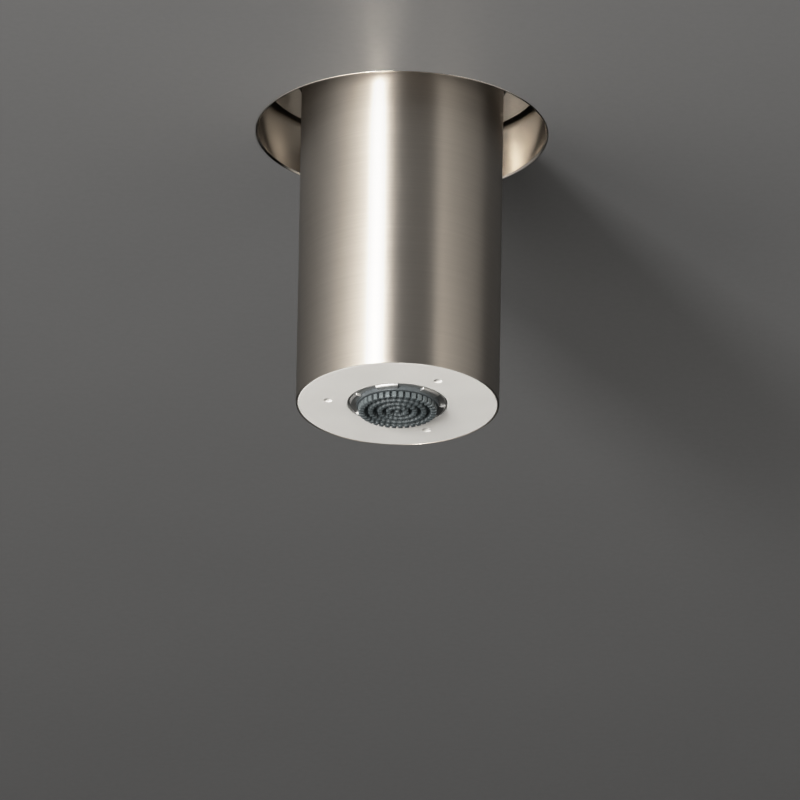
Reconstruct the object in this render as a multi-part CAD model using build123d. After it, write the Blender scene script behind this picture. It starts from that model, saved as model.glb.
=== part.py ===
from build123d import *
import os

os.makedirs("parts", exist_ok=True)

# ---------------------------------------------------------------- dimensions
# Millimetres. Origin on the shower axis at the ceiling plane, +Z up.
# The head hangs below z = 0, the built-in housing stands above it.

# hanging tube
TUBE_R = 30.0
TUBE_WALL = 0.8
TUBE_BOTTOM = -88.0
TUBE_TOP = 27.0
TUBE_EDGE = 0.2

# recess trim sleeve, flush with the ceiling
SLEEVE_R = 43.5
SLEEVE_WALL = 0.8
SLEEVE_TOP = 34.0
SLEEVE_EDGE = 0.2
SLEEVE_BEVEL_H = 0.45

# built-in housing: its pierced floor is the roof of the recess
CAN_R = 41.3
CAN_WALL = 1.0
ROOF_Z = 17.0
ROOF_HOLE_R = 31.4
ROOF_CORNER = 0.9
CAN_TOP = 62.0
GROOVE_Z = 27.0
GROOVE_DEPTH = 1.2
SLEEVE_ORING = 1.28
CAN_FLANGE_R = 51.0
CAN_BOLT_R = 46.5

# ceiling plate
PLATE_R = 62.0
PLATE_T = 3.0
PLATE_TOP = CAN_TOP + PLATE_T
ANCHOR_PCD = 108.0
ANCHOR_HOLE_R = 3.25

# water inlet, half-inch pipe thread
INLET_R = 10.48
INLET_TOP = 88.0
INLET_BORE_R = 7.0
INLET_SOCKET_R = 8.0
INLET_SOCKET_TOP = 66.0
INLET_HEX_AF = 27.0
INLET_HEX_Z = 54.0
RELIEF_Z = 73.0
WASHER_T = 1.5
LOCKNUT_T = 6.0

# ball joint
BALL_Z = 17.5
BALL_R = 11.0
BALL_BORE_R = 4.0
NECK_R = 6.0
COLLAR_AF = 22.0
COLLAR_Z = 47.0
SEAT_IN_R = 11.1
SEAT_OUT_R = 12.4
CAVITY_R = 12.5
STEM_BORE_R = 5.5

# socket in the head
SOCKET_R = 17.95
SOCKET_BOTTOM = -16.0
SOCKET_RIM_Z = 25.0
NUT_THREAD_R = 15.0
NUT_LEDGE_Z = 19.5
NUT_TOP = 29.0
NUT_AF = 34.0
CARRIER_Z = 6.0
CARRIER_T = 6.0
CARRIER_NUT_AF = 44.0

# water pipe inside the head
PIPE_R = 8.0
PIPE_BORE_R = 6.5
PIPE_BOTTOM = -71.0
PIPE_TOP = -6.0
PIPE_SEAT_R = 8.05
ORING_MINOR = 0.72

# jet holder and white face
HOLDER_TOP = -62.0
HOLDER_FLANGE_Z = -76.0
HOLDER_FLANGE_T = 4.0
HOLDER_BOTTOM = -84.4
HOLDER_CUP_R = 19.0
CUP_BORE_R = 14.05
CUP_ROOF_Z = -74.0
FACE_R = 29.15
FACE_T = 3.5
FACE_EDGE = 0.3
FACE_HOLE_R = 14.75
PIN_HOLE_R = 1.25
PIN_HOLE_PCR = 20.6
PIN_HOLE_DEPTH = 2.6
PIN_HOLE_ANGLES = (185.0, 305.0, 65.0)

# swivelling jet
JET_Z = -86.0
RING_R = 14.2
RING_THREAD_R = 14.0
RING_BOTTOM = -88.5
RING_TOP = -75.2
RING_CAVITY_R = 12.5
SEAL_CAVITY_R = 13.4
TOOTH_COUNT = 6
TOOTH_DEG = 28.0
NOTCH_DEPTH = 0.7
JET_R = 12.4
JET_COLLAR_Z = -88.8
RIB_R = 11.6
RIB_COUNT = 36
JET_BOTTOM = -90.9
INSERT_TOP = -87.6
GROOVE_R = (9.2, 6.55, 3.95, 1.35)
RIDGE_H = 1.9


# ------------------------------------------------------------------- helpers
def turned(points):
    """Solid of revolution about Z from an (r, z) outline."""
    return revolve(make_face(Plane.XZ * Polyline(*points, close=True)), Axis.Z).solid()


def disc(r, z0, z1):
    return Pos(0, 0, (z0 + z1) / 2) * Cylinder(r, z1 - z0)


def ring(r_out, r_in, z0, z1):
    return turned([(r_in, z0), (r_out, z0), (r_out, z1), (r_in, z1)])


def ball(r, z):
    return Pos(0, 0, z) * Sphere(r)


def hexagon(across_flats, z0, z1):
    return Pos(0, 0, z0) * extrude(
        RegularPolygon(across_flats / 2, 6, major_radius=False), z1 - z0)


def torus(major, minor, z):
    return Pos(0, 0, z) * Torus(major, minor)


def polar(shape, r, angles, z=0.0):
    return [Rot(0, 0, a) * (Pos(r, 0, z) * shape) for a in angles]


def save(shape, name):
    shape.label = name
    export_step(shape, "parts/" + name + ".step")


def group(solids):
    return Compound(children=[s if isinstance(s, Solid) else s.solid() for s in solids])


tube_in = TUBE_R - TUBE_WALL
sleeve_in = SLEEVE_R - SLEEVE_WALL
can_in = CAN_R - CAN_WALL
quarter = (45.0, 135.0, 225.0, 315.0)

# ------------------------------------------------------- fixed, in the ceiling
# trim sleeve: thin drawn tube, its lower edge is the fine rim in the ceiling
e = SLEEVE_EDGE
recess_sleeve = turned([
    (sleeve_in, SLEEVE_BEVEL_H), (sleeve_in + e, 0), (SLEEVE_R - e, 0), (SLEEVE_R, e),
    (SLEEVE_R, SLEEVE_TOP), (sleeve_in, SLEEVE_TOP)])
save(recess_sleeve, "recess_sleeve")

# housing: rolled wall with a groove for the sleeve's O-ring, a pierced floor
# and a bolting flange, welded together
g = GROOVE_DEPTH
wall = turned([
    (can_in, ROOF_Z), (CAN_R, ROOF_Z),
    (CAN_R, GROOVE_Z - 2.0), (CAN_R - g, GROOVE_Z - 0.9), (CAN_R - g, GROOVE_Z + 0.9),
    (CAN_R, GROOVE_Z + 2.0), (CAN_R, CAN_TOP), (can_in, CAN_TOP),
    (can_in, GROOVE_Z + 2.4), (can_in - g, GROOVE_Z + 1.3), (can_in - g, GROOVE_Z - 1.3),
    (can_in, GROOVE_Z - 2.4)])
corner = wall.edges().filter_by(GeomType.CIRCLE).filter_by(
    lambda c: abs(c.radius - CAN_R) < 1e-4 and abs(c.center().Z - ROOF_Z) < 1e-4)
save(wall.fillet(ROOF_CORNER, corner), "housing_wall")
save(ring(can_in, ROOF_HOLE_R, ROOF_Z, ROOF_Z + CAN_WALL), "recess_roof")
flange = ring(CAN_FLANGE_R, CAN_R, CAN_TOP - 1.0, CAN_TOP)
for h in polar(Cylinder(2.2, 6), CAN_BOLT_R, quarter, CAN_TOP):
    flange = flange - h
save(flange, "housing_flange")

# O-ring that grips the push-on sleeve
save(torus(CAN_R - g + SLEEVE_ORING + 0.02, SLEEVE_ORING, GROOVE_Z), "sleeve_oring")

# ceiling plate with anchor holes
plate = disc(PLATE_R, CAN_TOP, PLATE_TOP)
plate = plate.fillet(0.6, plate.edges().filter_by(GeomType.CIRCLE))
plate = plate - disc(10.6, CAN_TOP - 1, PLATE_TOP + 1)
for h in polar(Cylinder(ANCHOR_HOLE_R, 10), ANCHOR_PCD / 2, (0, 90, 180, 270), CAN_TOP):
    plate = plate - h
for h in polar(Cylinder(2.05, 10), CAN_BOLT_R, quarter, CAN_TOP):
    plate = plate - h
save(plate, "ceiling_plate")

# four pan-head screws from below, through the flange into the plate
bolt = disc(2.0, CAN_TOP - 1.0, PLATE_TOP - 0.2) + disc(4.0, CAN_TOP - 3.6, CAN_TOP - 1.0)
bolt = bolt - Pos(0, 0, CAN_TOP - 3.6) * Box(0.9, 10, 2.0)
save(group(polar(bolt, CAN_BOLT_R, quarter)), "flange_screws")

# inlet connector: hex under the plate, pipe thread through it
connector = hexagon(INLET_HEX_AF, INLET_HEX_Z, CAN_TOP) + turned([
    (0, CAN_TOP - 2), (INLET_R, CAN_TOP - 2), (INLET_R, RELIEF_Z), (INLET_R - 0.8, RELIEF_Z),
    (INLET_R - 0.8, RELIEF_Z + 1.0), (INLET_R, RELIEF_Z + 1.0), (INLET_R, INLET_TOP - 1.2),
    (INLET_R - 1.2, INLET_TOP), (0, INLET_TOP)])
connector = connector - disc(INLET_BORE_R, INLET_HEX_Z - 1, INLET_TOP + 1)
connector = connector - disc(INLET_SOCKET_R, INLET_HEX_Z - 1, INLET_SOCKET_TOP)
save(connector, "inlet_connector")

washer_top = PLATE_TOP + WASHER_T
save(ring(15.0, 10.6, PLATE_TOP, washer_top), "inlet_washer")
locknut = hexagon(INLET_HEX_AF, washer_top, washer_top + LOCKNUT_T) & turned([
    (0, washer_top), (14.2, washer_top), (15.6, washer_top + 0.8),
    (15.6, washer_top + LOCKNUT_T - 0.8), (14.2, washer_top + LOCKNUT_T), (0, washer_top + LOCKNUT_T)])
locknut = locknut - disc(INLET_R + 0.05, washer_top - 1, washer_top + LOCKNUT_T + 1)
save(locknut, "inlet_locknut")

# swivel ball, its neck with a hex collar, and the spigot in the connector
spigot_top = INLET_SOCKET_TOP - 1.5
ball_top = BALL_Z + (BALL_R ** 2 - NECK_R ** 2) ** 0.5
through = disc(BALL_BORE_R, BALL_Z - BALL_R - 1, spigot_top + 1)
save((ball(BALL_R, BALL_Z) & disc(20, BALL_Z - BALL_R - 1, ball_top)) - through, "swivel_ball")
save(disc(NECK_R, ball_top, COLLAR_Z) + hexagon(COLLAR_AF, COLLAR_Z, INLET_HEX_Z) - through, "ball_neck")
spigot = turned([
    (0, INLET_HEX_Z), (INLET_SOCKET_R - 0.05, INLET_HEX_Z),
    (INLET_SOCKET_R - 0.05, 58.8), (6.5, 58.8), (6.5, 61.2),
    (INLET_SOCKET_R - 0.05, 61.2), (INLET_SOCKET_R - 0.05, spigot_top), (0, spigot_top)])
save(spigot - through, "inlet_spigot")
save(torus(7.24, ORING_MINOR, 60.0), "spigot_oring")

# ----------------------------------------------------------------- ball seats
shell = ball(SEAT_OUT_R, BALL_Z) - ball(SEAT_IN_R, BALL_Z)
save(shell & disc(20, BALL_Z - 9.0, BALL_Z - 3.0), "lower_ball_seat")
save(shell & disc(20, BALL_Z + 2.6, BALL_Z + 6.2), "upper_ball_seat")

# ----------------------------------------------------------------------- head
e = TUBE_EDGE
head_tube = turned([
    (tube_in, TUBE_BOTTOM), (TUBE_R - e, TUBE_BOTTOM), (TUBE_R, TUBE_BOTTOM + e),
    (TUBE_R, TUBE_TOP - e), (TUBE_R - e, TUBE_TOP), (tube_in, TUBE_TOP)])
save(head_tube, "head_tube")

carrier_top = CARRIER_Z + CARRIER_T
carrier = ring(tube_in - 0.05, SOCKET_R + 0.05, CARRIER_Z, carrier_top)
save(carrier, "tube_carrier")
carrier_nut = hexagon(CARRIER_NUT_AF, 0.5, CARRIER_Z) & turned([
    (0, 0.5), (CARRIER_NUT_AF / 2 + 0.3, 0.5), (25.6, 1.6), (25.6, CARRIER_Z), (0, CARRIER_Z)])
save(carrier_nut - disc(SOCKET_R + 0.05, -2, 10), "carrier_nut")

# ball socket, and the stem under it that takes the water pipe
socket = turned([
    (0, 0.0), (SOCKET_R, 0.0), (SOCKET_R, carrier_top), (21.0, carrier_top), (21.0, carrier_top + 3.0),
    (18.0, carrier_top + 3.0), (18.0, SOCKET_RIM_Z), (0, SOCKET_RIM_Z)])
socket = socket - ball(CAVITY_R, BALL_Z)
socket = socket - disc(CAVITY_R + 0.05, BALL_Z, SOCKET_RIM_Z + 1)
socket = socket - disc(NUT_THREAD_R + 0.05, NUT_LEDGE_Z, SOCKET_RIM_Z + 1)
save(socket - disc(STEM_BORE_R, -1, BALL_Z), "ball_socket")
stem = disc(11.0, SOCKET_BOTTOM, 0.0) - disc(STEM_BORE_R, SOCKET_BOTTOM - 1, 1)
stem = stem - disc(PIPE_SEAT_R, SOCKET_BOTTOM - 1, PIPE_TOP)
save(stem - ring(9.5, 7.0, -12.2, -9.8), "socket_stem")

nut = disc(NUT_THREAD_R, NUT_LEDGE_Z, SOCKET_RIM_Z) + (
    hexagon(NUT_AF, SOCKET_RIM_Z, NUT_TOP) & turned([
        (0, SOCKET_RIM_Z), (19.7, SOCKET_RIM_Z), (19.7, NUT_TOP - 1.2), (17.2, NUT_TOP), (0, NUT_TOP)]))
nut = nut - ball(CAVITY_R, BALL_Z)
nut = nut - turned([(0, BALL_Z), (10.4, BALL_Z), (10.4, 24.4), (11.2, NUT_TOP + 0.5), (0, NUT_TOP + 0.5)])
save(nut, "ball_nut")

save(ring(PIPE_R, PIPE_BORE_R, PIPE_BOTTOM, PIPE_TOP), "water_pipe")
save(group([torus(8.77, ORING_MINOR, -11.0).solid(), torus(8.77, ORING_MINOR, -67.5).solid()]), "pipe_orings")

# jet holder, brazed from a hub on the pipe, a flange in the tube and a cup for the jet
flange_top = HOLDER_FLANGE_Z + HOLDER_FLANGE_T
hub = disc(12.0, flange_top, HOLDER_TOP) - disc(6.0, flange_top - 1, PIPE_BOTTOM + 1)
hub = hub - disc(PIPE_SEAT_R, PIPE_BOTTOM, HOLDER_TOP + 1)
save(hub - ring(9.5, 7.0, -68.7, -66.3), "holder_hub")
web = disc(tube_in - 0.05, HOLDER_FLANGE_Z, flange_top) - disc(6.0, CUP_ROOF_Z - 1, flange_top + 1)
save(web - disc(CUP_BORE_R, HOLDER_FLANGE_Z - 1, CUP_ROOF_Z), "holder_flange")
save(ring(HOLDER_CUP_R, CUP_BORE_R, HOLDER_BOTTOM, HOLDER_FLANGE_Z), "holder_cup")

# white face, screwed on the holder with a pin spanner in its three holes
face_top = TUBE_BOTTOM + FACE_T
e = FACE_EDGE
face = turned([
    (FACE_HOLE_R, TUBE_BOTTOM + e), (FACE_HOLE_R + e, TUBE_BOTTOM), (FACE_R - e, TUBE_BOTTOM),
    (FACE_R, TUBE_BOTTOM + e), (FACE_R, face_top), (22.4, face_top), (22.4, -77.0),
    (HOLDER_CUP_R + 0.05, -77.0), (HOLDER_CUP_R + 0.05, face_top), (FACE_HOLE_R, face_top)])
pin_hole = disc(PIN_HOLE_R, TUBE_BOTTOM - 1, TUBE_BOTTOM + PIN_HOLE_DEPTH)
for h in polar(pin_hole, PIN_HOLE_PCR, PIN_HOLE_ANGLES):
    face = face - h
save(face, "white_face")

save(ring(13.9, 8.6, RING_TOP, CUP_ROOF_Z), "jet_gasket")

# castellated threaded ring: a spherical pocket for the swivelling jet
castle = turned([
    (0, RING_BOTTOM), (RING_R - 0.25, RING_BOTTOM), (RING_R, RING_BOTTOM + 0.55),
    (RING_R, -84.5), (RING_THREAD_R, -84.5), (RING_THREAD_R, RING_TOP), (0, RING_TOP)])
castle = castle - ball(RING_CAVITY_R, JET_Z)
castle = castle - (ball(SEAL_CAVITY_R, JET_Z) & disc(20, -81.5, RING_TOP + 1))
castle = castle - disc(8.6, -78.0, RING_TOP + 1)
pitch = 360.0 / TOOTH_COUNT
gap = pitch - TOOTH_DEG
wedge = extrude(make_face(Polyline(
    (0, 0), Vector(24, 0).rotate(Axis.Z, -gap / 2), Vector(24, 0).rotate(Axis.Z, gap / 2), close=True)),
    NOTCH_DEPTH + 1)
for k in range(TOOTH_COUNT):
    castle = castle - Rot(0, 0, -14.0 + pitch * k) * (Pos(0, 0, RING_BOTTOM - 1) * wedge)
save(castle, "jet_ring")

# --------------------------------------------------------------- swivelling jet
save((ball(SEAL_CAVITY_R - 0.1, JET_Z) - ball(JET_R + 0.1, JET_Z)) & disc(20, JET_Z + 6.4, JET_Z + 9.2), "jet_seal")

cup = ball(JET_R, JET_Z) & disc(20, JET_COLLAR_Z, JET_Z + 9.5)
cup = cup - disc(10.4, JET_COLLAR_Z - 1, -81.0)
cup = cup - disc(7.0, -82.0, JET_Z + 11)
save(cup, "jet_cup")

# ribbed insert with ring ridges on its underside, and the ring that locks it in the cup
insert = turned([
    (0, JET_BOTTOM), (RIB_R - 0.5, JET_BOTTOM), (RIB_R, JET_BOTTOM + 0.4), (RIB_R, JET_COLLAR_Z - 0.05),
    (10.35, JET_COLLAR_Z - 0.05), (10.35, INSERT_TOP), (0, INSERT_TOP)])
for r in GROOVE_R:
    insert = insert - ring(r + 0.45, r - 0.45, JET_BOTTOM - 0.5, JET_BOTTOM + RIDGE_H)
rib_gap = Pos(0, 0, (JET_BOTTOM + JET_COLLAR_Z) / 2) * Box(1.0, 0.75, 4.0)
for k in range(RIB_COUNT):
    insert = insert - Rot(0, 0, 5.0 + 360.0 / RIB_COUNT * k) * (Pos(RIB_R + 0.1, 0, 0) * rib_gap)
for r, n in zip(GROOVE_R, (24, 18, 12, 6)):
    insert = insert - polar(Cylinder(0.35, 8), r, [360.0 / n * k for k in range(n)], -89.0)
save(insert, "jet_insert")
save(ring(10.35, 9.4, INSERT_TOP, -83.0), "insert_collar")

regulator = disc(10.3, -83.0, -81.7)
for h in polar(Cylinder(1.2, 6), 6.0, [60.0 * k for k in range(6)], -82.3):
    regulator = regulator - h
save(regulator, "flow_regulator")

# strainer above the regulator
screen = disc(10.3, -81.65, -81.05)
mesh_hole = Cylinder(0.75, 4)
for r, n in ((0.0, 1), (2.3, 6), (4.6, 12), (6.2, 18)):
    for h in polar(mesh_hole, r, [360.0 / n * k for k in range(n)], -81.3):
        screen = screen - h
save(screen, "jet_screen")
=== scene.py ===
import math

import bmesh
import bpy
from mathutils import Matrix, Vector


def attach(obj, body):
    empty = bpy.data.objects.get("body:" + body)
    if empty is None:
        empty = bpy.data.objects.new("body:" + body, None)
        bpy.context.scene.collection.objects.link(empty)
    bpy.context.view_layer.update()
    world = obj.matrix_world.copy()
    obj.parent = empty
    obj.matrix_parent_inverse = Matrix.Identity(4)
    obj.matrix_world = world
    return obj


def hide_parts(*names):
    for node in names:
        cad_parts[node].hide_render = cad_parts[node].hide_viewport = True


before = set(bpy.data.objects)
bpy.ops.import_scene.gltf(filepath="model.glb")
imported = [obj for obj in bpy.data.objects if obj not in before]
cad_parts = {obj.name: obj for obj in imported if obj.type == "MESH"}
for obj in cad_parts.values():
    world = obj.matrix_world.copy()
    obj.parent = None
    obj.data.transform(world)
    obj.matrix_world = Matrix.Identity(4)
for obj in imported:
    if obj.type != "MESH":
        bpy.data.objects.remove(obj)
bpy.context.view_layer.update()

scene = bpy.context.scene
MM = 0.001
TAU = 2.0 * math.pi

# ------------------------------------------------------------------ dimensions
# millimetres, the same frame as the solids
TUBE_R, TUBE_IN, TUBE_BOTTOM, TUBE_TOP = 30.0, 29.2, -88.0, 27.0
SLEEVE_R, SLEEVE_IN, SLEEVE_TOP = 43.5, 42.7, 34.0
FACE_R, FACE_HOLE_R, FACE_TOP = 29.15, 14.75, -84.5
PIN_R, PIN_PCR, PIN_DEPTH, PIN_ANGLES = 1.25, 20.6, 2.6, (185.0, 305.0, 65.0)
JET_Z = -86.0
RING_R, RING_BOTTOM, RING_TOP = 14.2, -88.5, -75.2
TOOTH_DEG, NOTCH_DEPTH, TOOTH_AT = 28.0, 0.7, -44.0
RIB_R, RIBS, JET_BOTTOM, COLLAR_Z = 11.6, 36, -90.9, -88.85
# ring ridges on the underside: middle radius, half width, scallops, phase
RIDGES = ((10.62, 0.95, 36, 0.0), (7.90, 0.84, 28, 0.4), (5.20, 0.82, 20, 1.9), (2.70, 0.76, 12, 0.9),
          (0.0, 0.78, 0, 0.0))


# ------------------------------------------------------------------ mesh helpers
def new_object(name, verts, faces, smooth_deg=35.0):
    mesh = bpy.data.meshes.new(name)
    mesh.from_pydata([(x * MM, y * MM, z * MM) for x, y, z in verts], [], faces)
    mesh.validate()
    bm = bmesh.new()
    bm.from_mesh(mesh)
    bmesh.ops.remove_doubles(bm, verts=bm.verts, dist=1e-7)
    bmesh.ops.recalc_face_normals(bm, faces=bm.faces)
    bm.to_mesh(mesh)
    bm.free()
    for p in mesh.polygons:
        p.use_smooth = True
    mesh.set_sharp_from_angle(angle=math.radians(smooth_deg))
    obj = bpy.data.objects.new(name, mesh)
    scene.collection.objects.link(obj)
    return obj


def rounded(points, steps=5):
    """Outline of (r, z) or (r, z, radius) corners, with each radius turned into an arc."""
    out = []
    n = len(points)
    for i, p in enumerate(points):
        rad = p[2] if len(p) > 2 else 0.0
        here = Vector(p[:2])
        if rad <= 0:
            out.append((here.x, here.y))
            continue
        a = (Vector(points[i - 1][:2]) - here).normalized()
        b = (Vector(points[(i + 1) % n][:2]) - here).normalized()
        half = a.angle(b) / 2
        reach = rad / math.tan(half)
        start, end = here + a * reach, here + b * reach
        centre = here + (a + b).normalized() * (rad / math.sin(half))
        va, vb = start - centre, end - centre
        sweep = va.angle_signed(vb)
        for k in range(steps + 1):
            t = -sweep * k / steps
            c, s = math.cos(t), math.sin(t)
            out.append((centre.x + va.x * c - va.y * s, centre.y + va.x * s + va.y * c))
    return out


def loft(name, rows, angles, closed=True, smooth_deg=35.0):
    """Skin over rows that go round the Z axis. A row is (r, z), each a number or a function of the angle.
    A row with r of 0 is a single point on the axis. A closed loft joins its last row to its first."""
    verts, faces, index = [], [], []
    for r, z in rows:
        if r == 0:
            index.append([len(verts)] * len(angles))
            verts.append((0.0, 0.0, z(0.0) if callable(z) else z))
            continue
        ids = []
        for a in angles:
            rr = r(a) if callable(r) else r
            zz = z(a) if callable(z) else z
            ids.append(len(verts))
            verts.append((rr * math.cos(a), rr * math.sin(a), zz))
        index.append(ids)
    count = len(rows) if closed else len(rows) - 1
    for k in range(count):
        lower, upper = index[k], index[(k + 1) % len(rows)]
        for i in range(len(angles)):
            j = (i + 1) % len(angles)
            quad = []
            for v in (lower[i], lower[j], upper[j], upper[i]):
                if v not in quad:
                    quad.append(v)
            if len(quad) > 2:
                faces.append(quad)
    return new_object(name, verts, faces, smooth_deg)


def even(n):
    return [TAU * k / n for k in range(n)]


def lathe(name, outline, n=256, smooth_deg=35.0):
    return loft(name, rounded(outline), even(n), True, smooth_deg)


def cut(obj, tools):
    """Takes the tool meshes out of obj, and removes them."""
    for tool in tools:
        mod = obj.modifiers.new("cut", "BOOLEAN")
        mod.operation, mod.solver, mod.object = "DIFFERENCE", "EXACT", tool
    dg = bpy.context.evaluated_depsgraph_get()
    mesh = bpy.data.meshes.new_from_object(obj.evaluated_get(dg))
    obj.modifiers.clear()
    old, obj.data = obj.data, mesh
    bpy.data.meshes.remove(old)
    for tool in tools:
        bpy.data.objects.remove(tool)
    for p in mesh.polygons:
        p.use_smooth = True
    mesh.set_sharp_from_angle(angle=math.radians(35))
    mod = obj.modifiers.new("flat_faces", "WEIGHTED_NORMAL")
    mod.mode, mod.weight, mod.keep_sharp = "FACE_AREA", 100, True
    dg = bpy.context.evaluated_depsgraph_get()
    mesh = bpy.data.meshes.new_from_object(obj.evaluated_get(dg))
    obj.modifiers.clear()
    old, obj.data = obj.data, mesh
    bpy.data.meshes.remove(old)
    return obj


def smoothstep(a, b, x):
    t = max(0.0, min(1.0, (x - a) / (b - a)))
    return t * t * (3 - 2 * t)


# -------------------------------------------------------------- material helpers
def material(name):
    mat = bpy.data.materials.new(name)
    mat.use_nodes = True
    tree = mat.node_tree
    tree.nodes.clear()
    out = tree.nodes.new("ShaderNodeOutputMaterial")
    bsdf = tree.nodes.new("ShaderNodeBsdfPrincipled")
    tree.links.new(bsdf.outputs["BSDF"], out.inputs["Surface"])
    return mat, tree, bsdf


def node(tree, kind, **values):
    n = tree.nodes.new(kind)
    for key, value in values.items():
        if key in n.inputs:
            n.inputs[key].default_value = value
        else:
            setattr(n, key, value)
    return n


def stretched(tree, scale):
    """Object coordinates, in metres, stretched by a scale for each axis."""
    co = node(tree, "ShaderNodeTexCoord")
    mp = node(tree, "ShaderNodeMapping")
    mp.inputs["Scale"].default_value = scale
    tree.links.new(co.outputs["Object"], mp.inputs["Vector"])
    return mp.outputs["Vector"]


def noise(tree, scale, detail=3.0, rough=0.55, distortion=0.0):
    n = node(tree, "ShaderNodeTexNoise", Scale=1.0, Detail=detail, Roughness=rough, Distortion=distortion)
    tree.links.new(stretched(tree, scale), n.inputs["Vector"])
    return n.outputs["Fac"]


def spread(tree, fac, lo, hi, from_lo=0.3, from_hi=0.7):
    n = node(tree, "ShaderNodeMapRange")
    n.inputs["From Min"].default_value = from_lo
    n.inputs["From Max"].default_value = from_hi
    n.inputs["To Min"].default_value = lo
    n.inputs["To Max"].default_value = hi
    tree.links.new(fac, n.inputs["Value"])
    return n.outputs["Result"]


def tones(tree, fac, a, b):
    n = node(tree, "ShaderNodeMix", data_type="RGBA")
    n.inputs[6].default_value = (*a, 1)
    n.inputs[7].default_value = (*b, 1)
    tree.links.new(fac, n.inputs[0])
    return n.outputs[2]


def added(tree, a, b, wa=1.0, wb=1.0):
    m = node(tree, "ShaderNodeMath", operation="MULTIPLY")
    m.inputs[1].default_value = wa
    tree.links.new(a, m.inputs[0])
    n = node(tree, "ShaderNodeMath", operation="MULTIPLY_ADD")
    n.inputs[1].default_value = wb
    tree.links.new(b, n.inputs[0])
    tree.links.new(m.outputs[0], n.inputs[2])
    return n.outputs[0]


def bumped(tree, bsdf, height, strength, distance):
    n = node(tree, "ShaderNodeBump", Strength=strength, Distance=distance)
    tree.links.new(height, n.inputs["Height"])
    tree.links.new(n.outputs["Normal"], bsdf.inputs["Normal"])
    return n


def round_grain(tree, bsdf, amount):
    """Brush lines that run round the Z axis."""
    bsdf.inputs["Anisotropic"].default_value = amount
    bsdf.inputs["Anisotropic Rotation"].default_value = 0.25
    t = node(tree, "ShaderNodeTangent", direction_type="RADIAL", axis="Z")
    tree.links.new(t.outputs["Tangent"], bsdf.inputs["Tangent"])


def brushed_steel():
    mat, t, b = material("brushed_steel_tube")
    b.inputs["Metallic"].default_value = 1.0
    fine = noise(t, (40, 40, 7000), 2.0, 0.6)
    coarse = noise(t, (14, 14, 1300), 3.0, 0.6)
    cloud = noise(t, (38, 38, 22), 3.0, 0.5)
    grain = added(t, fine, coarse, 0.6, 0.4)
    t.links.new(tones(t, spread(t, added(t, grain, cloud, 0.75, 0.25), 0, 1),
                      (0.575, 0.525, 0.468), (0.675, 0.622, 0.560)), b.inputs["Base Color"])
    t.links.new(spread(t, added(t, grain, cloud, 0.6, 0.4), 0.36, 0.44), b.inputs["Roughness"])
    round_grain(t, b, 0.96)
    bumped(t, b, grain, 0.10, 0.00004)
    return mat


def satin_steel():
    mat, t, b = material("satin_steel_sleeve")
    b.inputs["Metallic"].default_value = 1.0
    fine = noise(t, (30, 30, 6000), 2.0, 0.6)
    cloud = noise(t, (60, 60, 60), 3.0, 0.5)
    t.links.new(tones(t, spread(t, added(t, fine, cloud, 0.5, 0.5), 0, 1),
                      (0.59, 0.545, 0.495), (0.69, 0.645, 0.59)), b.inputs["Base Color"])
    t.links.new(spread(t, added(t, fine, cloud, 0.5, 0.5), 0.17, 0.25), b.inputs["Roughness"])
    round_grain(t, b, 0.5)
    bumped(t, b, fine, 0.05, 0.00003)
    return mat


def drawn_steel():
    mat, t, b = material("drawn_steel_housing")
    b.inputs["Metallic"].default_value = 1.0
    pull = noise(t, (1100, 1100, 30), 3.0, 0.6)
    cloud = noise(t, (45, 45, 45), 4.0, 0.6, 0.6)
    t.links.new(tones(t, spread(t, added(t, pull, cloud, 0.45, 0.55), 0, 1),
                      (0.50, 0.475, 0.44), (0.66, 0.635, 0.595)), b.inputs["Base Color"])
    t.links.new(spread(t, added(t, pull, cloud, 0.4, 0.6), 0.30, 0.46), b.inputs["Roughness"])
    bumped(t, b, added(t, pull, cloud, 0.5, 0.5), 0.12, 0.00006)
    return mat


def zinc():
    mat, t, b = material("zinc_plated_steel")
    b.inputs["Metallic"].default_value = 1.0
    v = node(t, "ShaderNodeTexVoronoi", Scale=1.0)
    t.links.new(stretched(t, (260, 260, 260)), v.inputs["Vector"])
    sep = node(t, "ShaderNodeSeparateColor")
    t.links.new(v.outputs["Color"], sep.inputs["Color"])
    cloud = noise(t, (30, 30, 30), 4.0, 0.6, 0.4)
    fine = noise(t, (1500, 1500, 1500), 2.0, 0.5)
    mixed = added(t, sep.outputs[0], cloud, 0.35, 0.65)
    t.links.new(tones(t, spread(t, mixed, 0, 1, 0.2, 0.8), (0.47, 0.49, 0.50), (0.66, 0.675, 0.685)), b.inputs["Base Color"])
    t.links.new(spread(t, added(t, sep.outputs[1], cloud, 0.3, 0.7), 0.27, 0.46, 0.2, 0.8), b.inputs["Roughness"])
    bumped(t, b, added(t, fine, cloud, 0.6, 0.4), 0.10, 0.00006)
    return mat


def plated(name, lo, hi, rough_lo, rough_hi, lines=2500):
    """Turned and plated metal: faint tool lines round the axis, a little haze."""
    mat, t, b = material(name)
    b.inputs["Metallic"].default_value = 1.0
    tool = noise(t, (20, 20, lines), 2.0, 0.5)
    haze = noise(t, (120, 120, 120), 3.0, 0.6)
    both = added(t, tool, haze, 0.5, 0.5)
    t.links.new(tones(t, spread(t, both, 0, 1), lo, hi), b.inputs["Base Color"])
    t.links.new(spread(t, both, rough_lo, rough_hi), b.inputs["Roughness"])
    bumped(t, b, tool, 0.08, 0.00004)
    return mat


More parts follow.
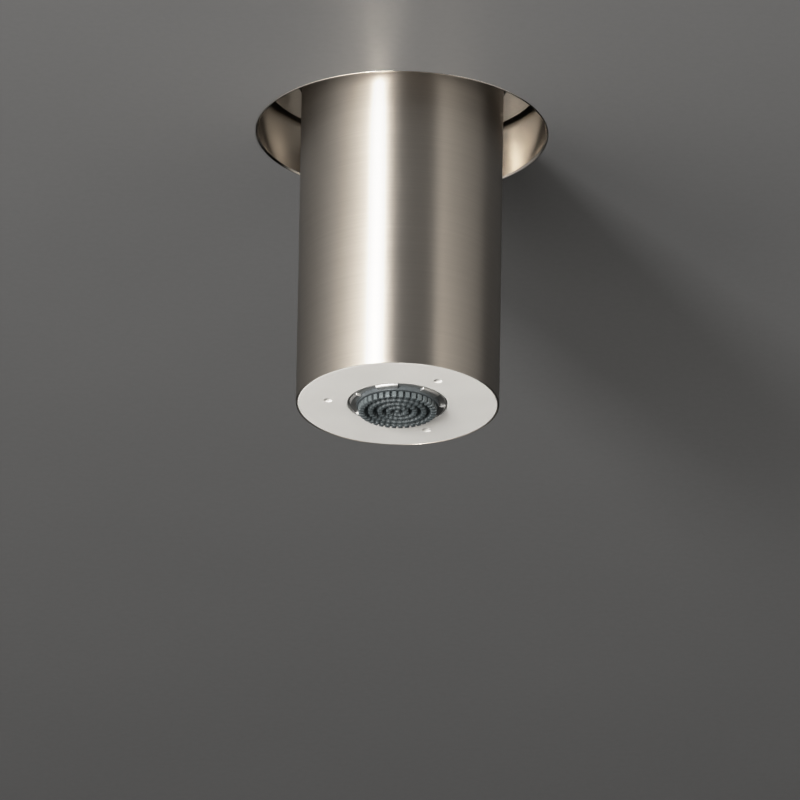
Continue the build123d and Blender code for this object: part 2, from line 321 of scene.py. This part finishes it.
def white_plastic():
    mat, t, b = material("matt_white_plastic")
    grain = noise(t, (5200, 5200, 5200), 2.0, 0.5)
    cloud = noise(t, (55, 55, 55), 3.0, 0.5)
    t.links.new(tones(t, spread(t, added(t, grain, cloud, 0.35, 0.65), 0, 1),
                      (0.765, 0.758, 0.738), (0.815, 0.81, 0.792)), b.inputs["Base Color"])
    t.links.new(spread(t, cloud, 0.50, 0.62), b.inputs["Roughness"])
    b.inputs["Specular IOR Level"].default_value = 0.35
    bumped(t, b, grain, 0.12, 0.00003)
    return mat


def soft_plastic(name, lo, hi, rough_lo, rough_hi, grain_scale=3500, strength=0.15, rim=None):
    """Moulded plastic or rubber. rim: two radii in mm, and two lighter tones painted beyond them; this is painted
    light, making the outer ribs lighter than the shaded underside.
    """
    mat, t, b = material(name)
    grain = noise(t, (grain_scale,) * 3, 3.0, 0.6)
    cloud = noise(t, (140, 140, 140), 3.0, 0.6)
    colour = tones(t, spread(t, added(t, grain, cloud, 0.4, 0.6), 0, 1), lo, hi)
    if rim:
        where = node(t, "ShaderNodeTexCoord")
        flat = node(t, "ShaderNodeVectorMath", operation="MULTIPLY")
        flat.inputs[1].default_value = (1, 1, 0)
        far = node(t, "ShaderNodeVectorMath", operation="LENGTH")
        t.links.new(where.outputs["Object"], flat.inputs[0])
        t.links.new(flat.outputs["Vector"], far.inputs[0])
        # painted light: lighter tones beyond the rim radii stand in for the shade that the grooved underside gets and
        # the outer ribs do not
        painted_rim_light = tones(t, spread(t, added(t, grain, cloud, 0.4, 0.6), 0, 1), rim[2], rim[3])
        both = node(t, "ShaderNodeMix", data_type="RGBA")
        t.links.new(spread(t, far.outputs["Value"], 0, 1, rim[0] * MM, rim[1] * MM), both.inputs[0])
        t.links.new(colour, both.inputs[6])
        t.links.new(painted_rim_light, both.inputs[7])
        colour = both.outputs[2]
    t.links.new(colour, b.inputs["Base Color"])
    t.links.new(spread(t, added(t, grain, cloud, 0.4, 0.6), rough_lo, rough_hi), b.inputs["Roughness"])
    bumped(t, b, grain, strength, 0.00004)
    return mat


M_TUBE = brushed_steel()
M_SLEEVE = satin_steel()
M_DRAWN = drawn_steel()
M_ZINC = zinc()
M_SCREW = plated("plated_screw_steel", (0.46, 0.46, 0.45), (0.62, 0.62, 0.61), 0.24, 0.40, 900)
M_CHROME = plated("polished_chrome", (0.62, 0.615, 0.605), (0.74, 0.735, 0.725), 0.07, 0.15)
M_SATIN = plated("satin_chrome", (0.55, 0.55, 0.54), (0.66, 0.66, 0.65), 0.36, 0.48)
M_BRASS = plated("turned_brass", (0.62, 0.44, 0.19), (0.78, 0.58, 0.29), 0.22, 0.36)
M_WHITE = white_plastic()
M_SEAT = soft_plastic("low_friction_plastic", (0.78, 0.78, 0.75), (0.86, 0.86, 0.83), 0.35, 0.5)
M_JET = soft_plastic("blue_grey_plastic", (0.062, 0.074, 0.079), (0.094, 0.108, 0.115), 0.36, 0.52)
# the lighter tones on the outer ribs are painted light, not wear: a painted shade difference between ribs and grooved
# underside
M_RUBBER = soft_plastic("blue_grey_rubber", (0.041, 0.052, 0.056), (0.074, 0.089, 0.094), 0.42, 0.58,
                        rim=(10.9, 11.5, (0.100, 0.118, 0.124), (0.144, 0.167, 0.173)))
M_SEAL = soft_plastic("black_seal_rubber", (0.016, 0.016, 0.017), (0.035, 0.035, 0.036), 0.45, 0.65)
M_FIBRE = soft_plastic("red_fibre", (0.28, 0.055, 0.035), (0.42, 0.10, 0.065), 0.65, 0.85, 1600, 0.5)


def finish_piece(obj, mat, body, slot, *nodes):
    obj.data.materials.clear()
    obj.data.materials.append(mat)
    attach(obj, body)
    if nodes:
        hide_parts(*nodes)
    return obj


# ------------------------------------------------------------------------ the head
tube = lathe("brushed_tube", [
    (TUBE_IN, TUBE_BOTTOM + 0.6), (TUBE_IN + 0.42, TUBE_BOTTOM, 0.05), (TUBE_R, TUBE_BOTTOM, 0.18),
    (TUBE_R, TUBE_TOP, 0.22), (TUBE_IN, TUBE_TOP, 0.15)], 320)
finish_piece(tube, M_TUBE, "head", "brushed_steel", "head_tube")

face = lathe("white_disc", [
    (FACE_HOLE_R, TUBE_BOTTOM, 0.28), (FACE_R + 0.41, TUBE_BOTTOM, 0.15), (FACE_R, TUBE_BOTTOM + 0.6), (FACE_R, FACE_TOP),
    (22.4, FACE_TOP), (22.4, -77.0), (19.05, -77.0), (19.05, FACE_TOP), (FACE_HOLE_R, FACE_TOP)], 320)
tools = []
for a in PIN_ANGLES:
    a = math.radians(a)
    drill = loft("drill", [
        (0, TUBE_BOTTOM + PIN_DEPTH + 0.45), (PIN_R, TUBE_BOTTOM + PIN_DEPTH), (PIN_R, TUBE_BOTTOM + 0.10),
        (PIN_R + 0.05, TUBE_BOTTOM + 0.03), (PIN_R + 0.14, TUBE_BOTTOM - 0.02), (PIN_R + 0.14, TUBE_BOTTOM - 1.0),
        (0, TUBE_BOTTOM - 1.0)], even(64), False)
    drill.data.transform(Matrix.Translation((PIN_PCR * MM * math.cos(a), PIN_PCR * MM * math.sin(a), 0)))
    tools.append(drill)
cut(face, tools)
finish_piece(face, M_WHITE, "head", "white_plastic", "white_face")

# castellated ring: angles are denser where a tooth begins and ends
edge_at = []
for k in range(6):
    mid = TOOTH_AT + 60.0 * k
    edge_at += [mid - TOOTH_DEG / 2, mid + TOOTH_DEG / 2]
ring_angles = sorted(
    {round(d, 4) for e in edge_at for d in (e - 0.7, e - 0.45, e - 0.25, e, e + 0.25, e + 0.45, e + 0.7)}
    | {round(e + s, 4) for e in edge_at for s in (2.0, 5.0, 8.0, 11.0, 14.0, 17.0, 20.0, 23.0, 26.0)})
ring_angles = [math.radians(d) for d in ring_angles]


def tooth(a):
    """1 on a tooth, 0 in a notch."""
    d = (math.degrees(a) - TOOTH_AT + 30.0) % 60.0 - 30.0
    return 1.0 - smoothstep(TOOTH_DEG / 2 - 0.45, TOOTH_DEG / 2 + 0.45, abs(d))


def ring_low(a):
    return RING_BOTTOM + NOTCH_DEPTH * (1.0 - tooth(a))


def pocket(z):
    return math.sqrt(12.5 ** 2 - (z - JET_Z) ** 2)


ring_rows = [(RING_R, -84.5), (RING_R, -86.0)]
ring_rows += [(RING_R, lambda a: ring_low(a) + 0.06 + 0.40 * tooth(a)),
              (lambda a: RING_R - 0.01 - 0.02 * tooth(a), lambda a: ring_low(a) + 0.03 + 0.37 * tooth(a)),
              (lambda a: RING_R - 0.02 - 0.33 * tooth(a), lambda a: ring_low(a) + 0.01 + 0.05 * tooth(a)),
              (lambda a: RING_R - 0.04 - 0.38 * tooth(a), ring_low),
              (lambda a: pocket(ring_low(a)) + 0.20, ring_low),
              (lambda a: pocket(ring_low(a) + 0.05) + 0.05, lambda a: ring_low(a) + 0.05),
              (lambda a: pocket(ring_low(a) + 0.2), lambda a: ring_low(a) + 0.2)]
ring_rows += [(pocket(z), z) for z in (-85.9, -85.2, -84.4, -83.4, -82.4, -81.5)]
ring_rows += [(math.sqrt(13.4 ** 2 - (z - JET_Z) ** 2), z) for z in (-81.5, -80.5, -79.5, -78.5, -77.5, -76.4)]
ring_rows += [(8.6, RING_TOP), (14.0, RING_TOP), (14.0, -84.5)]
ring = loft("castellated_ring", ring_rows, ring_angles, True, 30)
finish_piece(ring, M_SATIN, "head", "chrome", "jet_ring")

# ------------------------------------------------- ribbed insert, scalloped underside
N_A = 648
GROOVE = 1.9


def rib(a):
    """0 in a gap, 1 on a rib, with soft flanks."""
    t = (math.degrees(a) / (360.0 / RIBS)) % 1.0
    d = abs(t - 0.5) * 2.0
    return smoothstep(0.20, 0.42, 1.0 - d)


def under(r, a):
    """Height of the underside above its lowest level: scalloped ring ridges with deep grooves between."""
    high = GROOVE
    for mid, half, n, phase in RIDGES:
        wave = 0.5 - 0.5 * math.cos(n * a + phase) if n else 1.0
        reach = half - 0.20 + 0.20 * wave
        across = 1.0 - smoothstep(reach - 0.22, reach + 0.20, abs(r - mid))
        top = (0.42 if n == RIBS else 0.18) * (1.0 - smoothstep(0.1, 0.8, wave)) + 0.10 * (abs(r - mid) / half) ** 2
        high = min(high, GROOVE + (top - GROOVE) * across)
    return high


insert_rows = [(0, JET_BOTTOM + under(0.0, 0.0))]
for k in range(82):
    r = 0.25 + 0.13 * k
    insert_rows.append((r, lambda a, r=r: JET_BOTTOM + under(r, a)))
gap_r = 10.60
insert_rows += [
    (lambda a: gap_r + 0.25 + 0.43 * rib(a), lambda a: JET_BOTTOM + 0.12 + 0.45 * (1 - rib(a))),
    (lambda a: gap_r + 0.15 + 0.77 * rib(a), lambda a: JET_BOTTOM + 0.28 + 0.40 * (1 - rib(a))),
    (lambda a: gap_r + (RIB_R - gap_r) * rib(a), lambda a: JET_BOTTOM + 0.58 + 0.2 * (1 - rib(a))),
    (lambda a: gap_r + (RIB_R - gap_r) * rib(a), JET_BOTTOM + 1.1),
    (lambda a: gap_r + (RIB_R - gap_r) * rib(a), COLLAR_Z - 0.24),
    (lambda a: gap_r - 0.05 + 0.74 * rib(a), COLLAR_Z - 0.07),
    (lambda a: gap_r - 0.15 + 0.55 * rib(a), COLLAR_Z),
    (10.35, COLLAR_Z), (10.35, -87.6), (0, -87.6)]
insert = loft("ribbed_insert", insert_rows, even(N_A), False, 55)
finish_piece(insert, M_RUBBER, "jet", "jet_rubber", "jet_insert")

# ---------------------------------------------------------------- recess and inlet
sleeve = lathe("recess_lining", [
    (SLEEVE_IN, 0.52, 0.2), (SLEEVE_IN + 0.40, 0.0, 0.04), (SLEEVE_R, 0.0, 0.32),
    (SLEEVE_R, SLEEVE_TOP, 0.15), (SLEEVE_IN, SLEEVE_TOP, 0.15)], 320)
finish_piece(sleeve, M_SLEEVE, "ceiling_box", "polished_steel", "recess_sleeve")

# inlet: pipe thread cut as a helix, hexagon below
PITCH, MAJOR, MINOR = 1.814, 10.48, 9.32


def thread(z, z0, z1):
    def r(a):
        t = (z / PITCH - a / TAU) % 1.0
        crest = smoothstep(0.08, 0.44, 1.0 - abs(2.0 * t - 1.0))
        fade = smoothstep(z0, z0 + 1.6, z) * (1.0 - smoothstep(z1 - 1.0, z1, z))
        return MINOR + (MAJOR - MINOR) * (crest * fade + (1.0 - fade) * 0.15)
    return r


def hexed(af, r_max):
    def r(a):
        d = (math.degrees(a) + 30.0) % 60.0 - 30.0
        return min(af / 2 / math.cos(math.radians(d)), r_max)
    return r


inlet_rows = [(8.0, 54.0), (hexed(27.0, 14.4), 54.0), (hexed(27.0, 15.6), 54.8), (hexed(27.0, 15.6), 62.0),
              (MAJOR, 62.0), (MAJOR, 72.9), (9.68, 73.0), (9.68, 73.9)]
z = 74.0
while z < 87.0:
    inlet_rows.append((thread(z, 74.0, 87.0), z))
    z += PITCH / 10
inlet_rows += [(9.45, 87.2), (9.05, 87.75), (8.7, 88.0), (7.5, 88.0), (7.15, 87.8), (7.0, 87.4),
               (7.0, 66.0), (8.0, 66.0)]
inlet = loft("threaded_inlet", inlet_rows, even(180), True, 40)
finish_piece(inlet, M_BRASS, "ceiling_box", "brass", "inlet_connector")

# ---------------------------------------------------- finishes of the carried solids
CAD_FINISH = {
    "housing_wall": M_DRAWN, "recess_roof": M_DRAWN, "housing_flange": M_DRAWN, "sleeve_oring": M_SEAL, "ceiling_plate": M_ZINC, "flange_screws": M_SCREW,
    "inlet_washer": M_FIBRE, "inlet_locknut": M_BRASS, "swivel_ball": M_CHROME, "ball_neck": M_CHROME, "inlet_spigot": M_BRASS,
    "spigot_oring": M_SEAL,
    "lower_ball_seat": M_SEAT, "upper_ball_seat": M_SEAT, "tube_carrier": M_BRASS, "carrier_nut": M_BRASS,
    "ball_socket": M_BRASS, "socket_stem": M_BRASS, "ball_nut": M_CHROME, "water_pipe": M_BRASS, "pipe_orings": M_SEAL,
    "holder_hub": M_BRASS, "holder_flange": M_BRASS, "holder_cup": M_BRASS, "jet_gasket": M_SEAL, "jet_seal": M_SEAL, "jet_cup": M_JET, "insert_collar": M_JET,
    "flow_regulator": M_SEAT, "jet_screen": M_SCREW}
for name, mat in CAD_FINISH.items():
    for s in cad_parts[name].material_slots:
        s.material = mat

# ----------------------------------------------------------------------------- stage
POWER = {"key": 36.8, "soft": 12.2, "left": 7.2, "right": 2.7, "floor": 0.192, "world": 0.04, "above": 22.0}

# plain panel in the plane of the sleeve's edge, seen from below only
panel = loft("ceiling_panel", [(43.52, 0.50), (43.53, 0.16), (43.62, 0.12), (44.2, 0.10), (47.0, 0.12), (60.0, 0.15), (120.0, 0.15), (400.0, 0.15), (1600.0, 0.15)],
             even(256), False, 30)
bm = bmesh.new()
bm.from_mesh(panel.data)
bmesh.ops.recalc_face_normals(bm, faces=bm.faces)
if sum(f.normal.z for f in bm.faces) > 0:
    bmesh.ops.reverse_faces(bm, faces=bm.faces)
bm.to_mesh(panel.data)
bm.free()
pm, t, b = material("grey_paint_panel")
roller = noise(t, (420, 420, 420), 4.0, 0.6)
cloud = noise(t, (7, 7, 7), 3.0, 0.5)
t.links.new(tones(t, spread(t, added(t, roller, cloud, 0.3, 0.7), 0, 1), (0.164, 0.165, 0.167), (0.178, 0.179, 0.181)), b.inputs["Base Color"])
t.links.new(spread(t, roller, 0.36, 0.46), b.inputs["Roughness"])
bumped(t, b, roller, 0.05, 0.0001)
geo = node(t, "ShaderNodeNewGeometry")
clear = node(t, "ShaderNodeBsdfTransparent")
mix = node(t, "ShaderNodeMixShader")
out = next(n for n in t.nodes if n.type == "OUTPUT_MATERIAL")
t.links.new(geo.outputs["Backfacing"], mix.inputs["Fac"])
t.links.new(b.outputs["BSDF"], mix.inputs[1])
t.links.new(clear.outputs["BSDF"], mix.inputs[2])
t.links.new(mix.outputs["Shader"], out.inputs["Surface"])
panel.data.materials.append(pm)

floor_mesh = bpy.data.meshes.new("floor")
S, Z = 14.0, -2.70
floor_mesh.from_pydata([(-S, -S, Z), (S, -S, Z), (S, S, Z), (-S, S, Z)], [], [(0, 1, 2, 3)])
floor = bpy.data.objects.new("floor", floor_mesh)
scene.collection.objects.link(floor)
fm = bpy.data.materials.new("pale_floor")
fm.use_nodes = True
t = fm.node_tree
t.nodes.clear()
cloud = noise(t, (3, 3, 3), 3.0, 0.5)
bounce = node(t, "ShaderNodeEmission", Color=(1.0, 0.985, 0.965, 1))
where = node(t, "ShaderNodeTexCoord")
sep = node(t, "ShaderNodeSeparateXYZ")
front = node(t, "ShaderNodeMapRange", interpolation_type="SMOOTHSTEP")
front.inputs["From Min"].default_value = 2.4
front.inputs["From Max"].default_value = -1.0
front.inputs["To Min"].default_value = 0.0
front.inputs["To Max"].default_value = POWER["floor"]
t.links.new(where.outputs["Object"], sep.inputs["Vector"])
t.links.new(sep.outputs["Y"], front.inputs["Value"])
t.links.new(front.outputs["Result"], bounce.inputs["Strength"])
pale = node(t, "ShaderNodeEmission")
t.links.new(tones(t, spread(t, cloud, 0, 1), (0.56, 0.56, 0.555), (0.61, 0.61, 0.605)), pale.inputs["Color"])
path = node(t, "ShaderNodeLightPath")
geo = node(t, "ShaderNodeNewGeometry")
clear = node(t, "ShaderNodeBsdfTransparent")
above = node(t, "ShaderNodeMixShader")
mix = node(t, "ShaderNodeMixShader")
out = node(t, "ShaderNodeOutputMaterial")
t.links.new(geo.outputs["Backfacing"], above.inputs["Fac"])
t.links.new(pale.outputs["Emission"], above.inputs[1])
t.links.new(clear.outputs["BSDF"], above.inputs[2])
t.links.new(path.outputs["Is Camera Ray"], mix.inputs["Fac"])
t.links.new(bounce.outputs["Emission"], mix.inputs[1])
t.links.new(above.outputs["Shader"], mix.inputs[2])
t.links.new(mix.outputs["Shader"], out.inputs["Surface"])
floor.data.materials.append(fm)


# ---------------------------------------------------------------------------- lights
def softbox(name, azimuth, elevation, distance, width, height, power, colour=(1, 1, 1), target=(0, 0, -0.044)):
    """Area light that faces target. Azimuth 0 is in front (-Y), positive to the right."""
    data = bpy.data.lights.new(name, "AREA")
    data.shape, data.size, data.size_y = "RECTANGLE", width, height
    data.energy, data.color = power, colour
    obj = bpy.data.objects.new(name, data)
    a, e = math.radians(azimuth), math.radians(elevation)
    away = Vector((math.sin(a) * math.cos(e), -math.cos(a) * math.cos(e), math.sin(e)))
    obj.location = Vector(target) + away * distance
    obj.rotation_mode = "QUATERNION"
    obj.rotation_quaternion = (-away).to_track_quat("-Z", "Y")
    obj.visible_camera = False
    scene.collection.objects.link(obj)
    return obj


def light_screen(name, az0, az1, el0, el1, strength, falloff, colour, radius=1.4):
    """Curved soft screen around the head that is brightest at az0 and fades towards az1."""
    na, ne = 40, 6
    verts, faces, uvs = [], [], []
    for i in range(na + 1):
        for j in range(ne + 1):
            a = math.radians(az0 + (az1 - az0) * i / na)
            e = math.radians(el0 + (el1 - el0) * j / ne)
            verts.append((radius * math.sin(a) * math.cos(e), -radius * math.cos(a) * math.cos(e),
                          -0.044 + radius * math.sin(e)))
            uvs.append((i / na, j / ne))
    for i in range(na):
        for j in range(ne):
            k = i * (ne + 1) + j
            faces.append((k, k + 1, k + ne + 2, k + ne + 1))
    mesh = bpy.data.meshes.new(name)
    mesh.from_pydata(verts, [], faces)
    layer = mesh.uv_layers.new(name="across")
    for loop in mesh.loops:
        layer.data[loop.index].uv = uvs[loop.vertex_index]
    obj = bpy.data.objects.new(name, mesh)
    scene.collection.objects.link(obj)
    mat = bpy.data.materials.new(name)
    mat.use_nodes = True
    t = mat.node_tree
    t.nodes.clear()
    out = node(t, "ShaderNodeOutputMaterial")
    em = node(t, "ShaderNodeEmission")
    em.inputs["Color"].default_value = (*colour, 1)
    uv = node(t, "ShaderNodeUVMap", uv_map="across")
    sep = node(t, "ShaderNodeSeparateXYZ")
    power = node(t, "ShaderNodeMath", operation="MULTIPLY")
    power.inputs[1].default_value = -falloff
    curve = node(t, "ShaderNodeMath", operation="EXPONENT")
    gain = node(t, "ShaderNodeMath", operation="MULTIPLY")
    gain.inputs[1].default_value = strength
    t.links.new(uv.outputs["UV"], sep.inputs["Vector"])
    t.links.new(sep.outputs["X"], power.inputs[0])
    t.links.new(power.outputs[0], curve.inputs[0])
    t.links.new(curve.outputs[0], gain.inputs[0])
    t.links.new(gain.outputs[0], em.inputs["Strength"])
    t.links.new(em.outputs["Emission"], out.inputs["Surface"])
    mesh.materials.append(mat)
    obj.visible_camera = False
    return obj


softbox("key", -26.0, -16.5, 2.0, 0.315, 0.485, POWER["key"], (1.0, 0.985, 0.965))
softbox("key_soft", -23.0, -27.0, 2.0, 0.945, 0.245, POWER["soft"], (1.0, 0.985, 0.965))
light_screen("left_screen", -38.0, -150.0, -8.0, -45.0, POWER["left"], 4.0, (1.0, 0.97, 0.93))
light_screen("right_screen", 40.0, 104.0, -8.0, -40.0, POWER["right"], 1.6, (1.0, 0.95, 0.88))
softbox("above_key", -40.0, 48.0, 1.6, 1.2, 1.2, POWER["above"], (1.0, 0.99, 0.97), (0, 0, 0.05))
softbox("above_fill", 130.0, 30.0, 1.6, 1.2, 1.0, POWER["above"] * 0.45, (0.97, 0.985, 1.0), (0, 0, 0.05))

world = bpy.data.worlds.new("studio")
scene.world = world
world.use_nodes = True
wt = world.node_tree
wt.nodes.clear()
w_out = wt.nodes.new("ShaderNodeOutputWorld")
w_mix = wt.nodes.new("ShaderNodeMixShader")
w_light = wt.nodes.new("ShaderNodeBackground")
w_seen = wt.nodes.new("ShaderNodeBackground")
w_path = wt.nodes.new("ShaderNodeLightPath")
w_light.inputs["Color"].default_value = (0.80, 0.82, 0.85, 1)
w_light.inputs["Strength"].default_value = POWER["world"]
w_seen.inputs["Color"].default_value = (0.62, 0.62, 0.615, 1)
w_seen.inputs["Strength"].default_value = 1.0
wt.links.new(w_path.outputs["Is Camera Ray"], w_mix.inputs["Fac"])
wt.links.new(w_light.outputs["Background"], w_mix.inputs[1])
wt.links.new(w_seen.outputs["Background"], w_mix.inputs[2])
wt.links.new(w_mix.outputs["Shader"], w_out.inputs["Surface"])
view = scene.view_settings
view.view_transform = "Standard"
# soft shoulder for the highlights
view.use_curve_mapping = True
shoulder = view.curve_mapping
shoulder.clip_max_x = 4.0
shoulder.extend = "EXTRAPOLATED"
curve = shoulder.curves[3]
curve.points[0].location = (0.0, 0.0)
curve.points[1].location = (4.0, 1.0)
for at in ((0.25, 0.25), (0.50, 0.50), (0.80, 0.72), (1.15, 0.865), (1.80, 0.93), (3.0, 0.975)):
    curve.points.new(*at)
shoulder.update()

# ---------------------------------------------------------------------------- camera
cam_data = bpy.data.cameras.new("camera")
cam_data.sensor_width = 36.0
cam_data.lens = 857.6
cam_data.clip_start, cam_data.clip_end = 0.1, 60.0
camera = bpy.data.objects.new("camera", cam_data)
scene.collection.objects.link(camera)
yaw, pitch, roll = math.radians(0.076), math.radians(24.140), math.radians(0.941)
forward = Vector((-math.sin(yaw) * math.cos(pitch), math.cos(yaw) * math.cos(pitch), math.sin(pitch)))
side = Vector((math.cos(yaw), math.sin(yaw), 0.0))
up = side.cross(forward)
right = side * math.cos(roll) + up * math.sin(roll)
top = up * math.cos(roll) - side * math.sin(roll)
turn = Matrix((right, top, -forward)).transposed()
camera.matrix_world = Matrix.Translation(Vector((7.5, -5129.0, -2385.3)) * MM) @ turn.to_4x4()
scene.camera = camera
